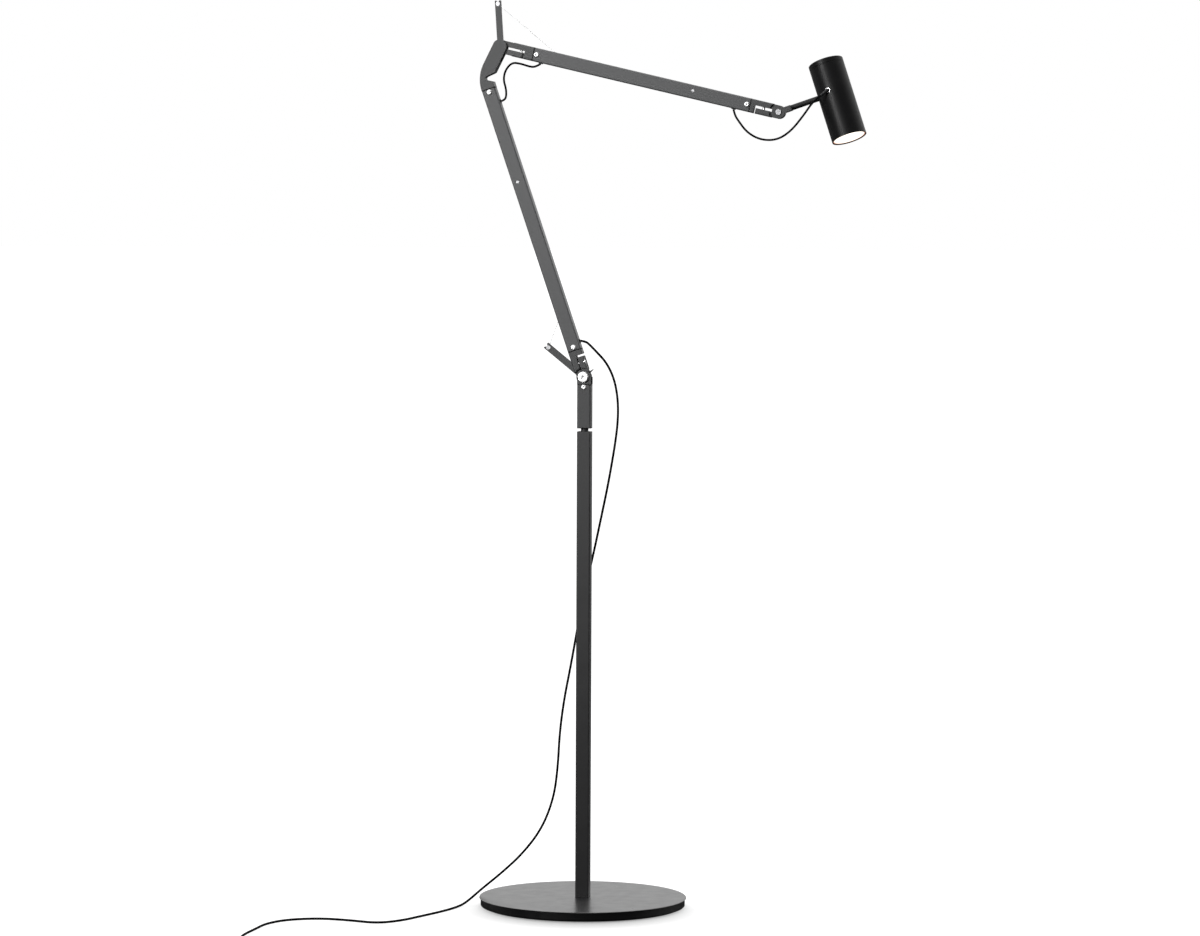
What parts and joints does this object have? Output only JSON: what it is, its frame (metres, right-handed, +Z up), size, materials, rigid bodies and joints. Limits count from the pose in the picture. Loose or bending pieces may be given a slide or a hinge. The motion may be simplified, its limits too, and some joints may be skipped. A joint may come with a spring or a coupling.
{
  "type": "adjustable arm floor lamp",
  "caption": "Free-standing floor lamp: round weighted base, square pole, swivelling post, two spring-balanced folding arms and a small cylindrical tilting head.",
  "frame": {"origin": "centre of the base's underside, on the floor", "axes": "+Z up along the pole, +X the side the head reaches to in the arms' plane at rest, +Y behind the lamp"},
  "size_m": [0.8299, 0.628, 1.3083],
  "materials": {
    "base_black": "fine textured black lacquer",
    "pole_black": "satin black lacquer",
    "arm_black": "satin black anodised extrusion",
    "casting_black": "satin black lacquered casting",
    "bright_steel": "polished",
    "plain_steel": "plain",
    "wire_steel": "drawn wire",
    "black_nylon": "matt",
    "black_rubber": "matt",
    "cable_black": "satin cable sheath",
    "plug_black": "moulded, lightly textured",
    "felt": "felt",
    "head_black": "semi-gloss black lacquer",
    "sink_aluminium": "turned",
    "board_white": "solder mask",
    "reflector_bright": "bright",
    "lens_white": "opal diffuser"
  },
  "bodies": {
    "base": {"base_pad": "felt", "base_disc": "base_black", "base_cover": "base_black", "base_bolt": "plain_steel", "foot_plug": "base_black", "pole_tube": "pole_black", "pole_bush": "black_nylon", "main_cord": "cable_black", "cord_coil": "cable_black", "mains_plug": "plug_black"},
    "post": {"swivel_spindle": "plain_steel", "post_plug": "arm_black", "post_tube": "arm_black", "post_fork": "casting_black", "post_screws": "bright_steel", "shoulder_bolt": "bright_steel", "shoulder_nut": "bright_steel", "shoulder_washers": "black_nylon", "lower_lever": "casting_black", "lower_lever_pin": "bright_steel", "lower_wire": "wire_steel"},
    "lower_arm": {"lower_fitting": "casting_black", "lower_clamp_screw": "bright_steel", "lower_tube": "arm_black", "lower_screws": "bright_steel", "lower_spring": "plain_steel", "lower_spring_anchor": "plain_steel", "lower_grommets": "black_rubber", "lower_inner_cable": "cable_black", "elbow_block": "casting_black", "elbow_pin": "plain_steel", "elbow_washers": "black_nylon", "upper_lever": "casting_black", "upper_lever_pin": "bright_steel", "upper_wire": "wire_steel", "main_cord_fall": "cable_black"},
    "upper_arm": {"upper_inner_fitting": "casting_black", "upper_outer_fitting": "casting_black", "upper_clamp_screws": "bright_steel", "upper_tube": "arm_black", "upper_screws": "bright_steel", "upper_spring": "plain_steel", "upper_spring_anchor": "plain_steel", "upper_grommets": "black_rubber", "upper_inner_cable": "cable_black", "elbow_cord": "cable_black"},
    "stem": {"stem_fork": "casting_black", "stem_rod": "casting_black", "tilt_screw": "bright_steel", "tilt_washers": "black_nylon", "head_cord": "cable_black"},
    "head": {"head_housing": "head_black", "heat_sink": "sink_aluminium", "led_board": "board_white", "reflector": "reflector_bright", "lens": "lens_white", "head_eyelet": "bright_steel", "cord_relief": "black_rubber", "head_cord_end": "cable_black"},
    "dimmer": {"dimmer_cap": "head_black"}
  },
  "joints": [
    {"name": "pole_swivel", "type": "hinge", "parent": "base", "child": "post", "pos_m": [0, 0, 0.69], "axis": [0, 0, 1], "range_deg": [-150, 150], "deforming": ["main_cord"]},
    {"name": "shoulder_tilt", "type": "hinge", "parent": "post", "child": "lower_arm", "pos_m": [-0.001, 0, 0.7678], "axis": [0, 1, 0], "range_deg": [-5, 70], "deforming": ["main_cord_fall", "lower_wire", "lower_spring"]},
    {"name": "elbow_tilt", "type": "hinge", "parent": "lower_arm", "child": "upper_arm", "pos_m": [-0.12441, 0, 1.24218], "axis": [0, 1, 0], "range_deg": [-60, 40], "deforming": ["elbow_cord", "upper_wire", "upper_spring"]},
    {"name": "head_tilt", "type": "hinge", "parent": "upper_arm", "child": "stem", "pos_m": [0.27838, 0, 1.14822], "axis": [0, 1, 0], "range_deg": [-45, 90], "deforming": ["head_cord"]},
    {"name": "head_swivel", "type": "hinge", "parent": "stem", "child": "head", "pos_m": [0.35837, 0, 1.17577], "axis": [0.9455, 0, 0.3256], "range_deg": [-40, 40], "deforming": ["head_cord_end"]},
    {"name": "dimmer_turn", "type": "hinge", "parent": "head", "child": "dimmer", "pos_m": [0.35837, 0, 1.17577], "axis": [-0.318, 0.2147, 0.9235], "range_deg": [0, 270]}
  ]
}
